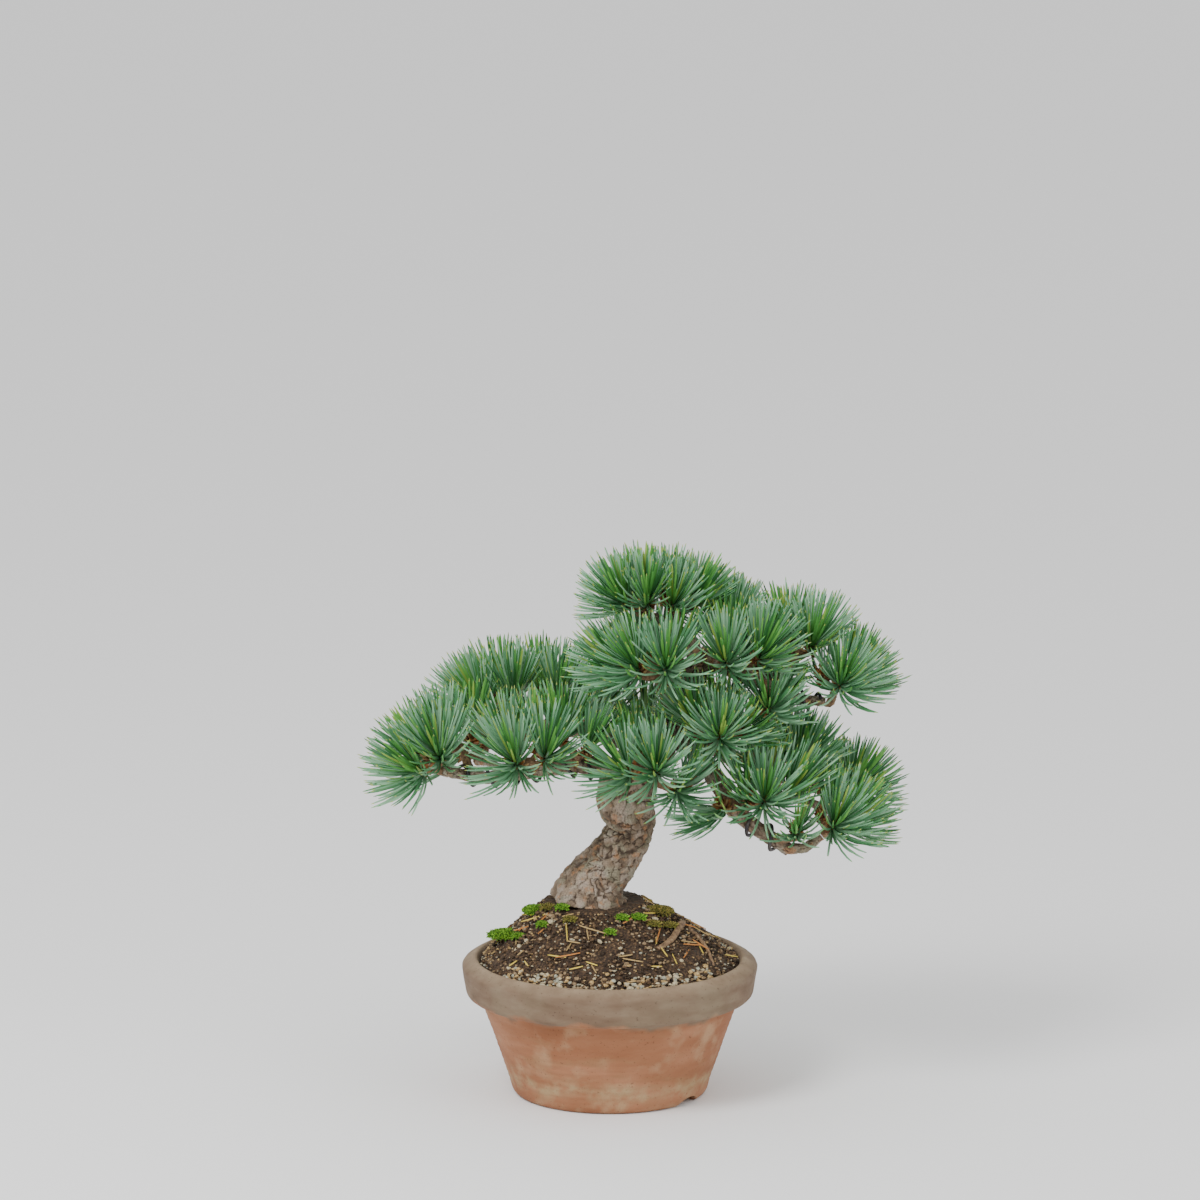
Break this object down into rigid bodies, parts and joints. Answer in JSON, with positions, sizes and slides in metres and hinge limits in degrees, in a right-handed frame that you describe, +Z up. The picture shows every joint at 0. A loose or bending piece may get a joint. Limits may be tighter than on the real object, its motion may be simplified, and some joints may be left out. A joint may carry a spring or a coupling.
{
  "type": "potted japanese white pine bonsai",
  "caption": "Small trained white pine with a curved flaking trunk, level boughs and needle tufts, in a round unglazed clay pot heaped with mossy soil.",
  "frame": {"origin": "middle of the pot's flat underside", "axes": "+Z up, +X to the right of the front view, +Y away from the front"},
  "size_m": [0.2716, 0.1612, 0.2805],
  "materials": {
    "fired_clay": "unglazed, weathered",
    "potting_soil": "rough, gritty",
    "green_moss": "soft",
    "dry_moss": "soft",
    "flaking_bark": "rough, flaking",
    "training_wire": "dull, tarnished",
    "pine_needles": "waxy"
  },
  "bodies": {
    "root": {"bough_centre": "flaking_bark", "bough_leader": "flaking_bark", "bough_left": "flaking_bark", "bough_left_back": "flaking_bark", "bough_left_deep": "flaking_bark", "bough_left_rear": "flaking_bark", "bough_rear": "flaking_bark", "bough_rear_right": "flaking_bark", "bough_right_back": "flaking_bark", "bough_right_end": "flaking_bark", "bough_right_lower": "flaking_bark", "bough_right_upper": "flaking_bark", "bough_top_front": "flaking_bark", "bough_top_rear": "flaking_bark", "bough_top_right": "flaking_bark", "mass_apex": "pine_needles", "mass_centre_front": "pine_needles", "mass_centre_low": "pine_needles", "mass_centre_right": "pine_needles", "mass_crest": "pine_needles", "mass_crown_back": "pine_needles", "mass_crown_rear": "pine_needles", "mass_left_back": "pine_needles", "mass_left_crest": "pine_needles", "mass_left_deep": "pine_needles", "mass_left_front": "pine_needles", "mass_left_heart": "pine_needles", "mass_left_inner": "pine_needles", "mass_left_rear": "pine_needles", "mass_left_tip": "pine_needles", "mass_left_upper": "pine_needles", "mass_rear": "pine_needles", "mass_rear_right": "pine_needles", "mass_right_back": "pine_needles", "mass_right_bend": "pine_needles", "mass_right_front": "pine_needles", "mass_right_inner": "pine_needles", "mass_right_middle": "pine_needles", "mass_right_skirt": "pine_needles", "mass_right_tip": "pine_needles", "mass_right_upper": "pine_needles", "mass_top_centre": "pine_needles", "mass_top_front": "pine_needles", "mass_top_left": "pine_needles", "mass_top_rear": "pine_needles", "mass_top_right": "pine_needles", "moss_left": "green_moss", "moss_left_upper": "green_moss", "moss_right": "dry_moss", "pot": "fired_clay", "root_right": "flaking_bark", "root_thin": "flaking_bark", "soil": "potting_soil", "trunk": "flaking_bark", "wire_left": "training_wire", "wire_right": "training_wire", "wire_top": "training_wire"}
  },
  "joints": []
}
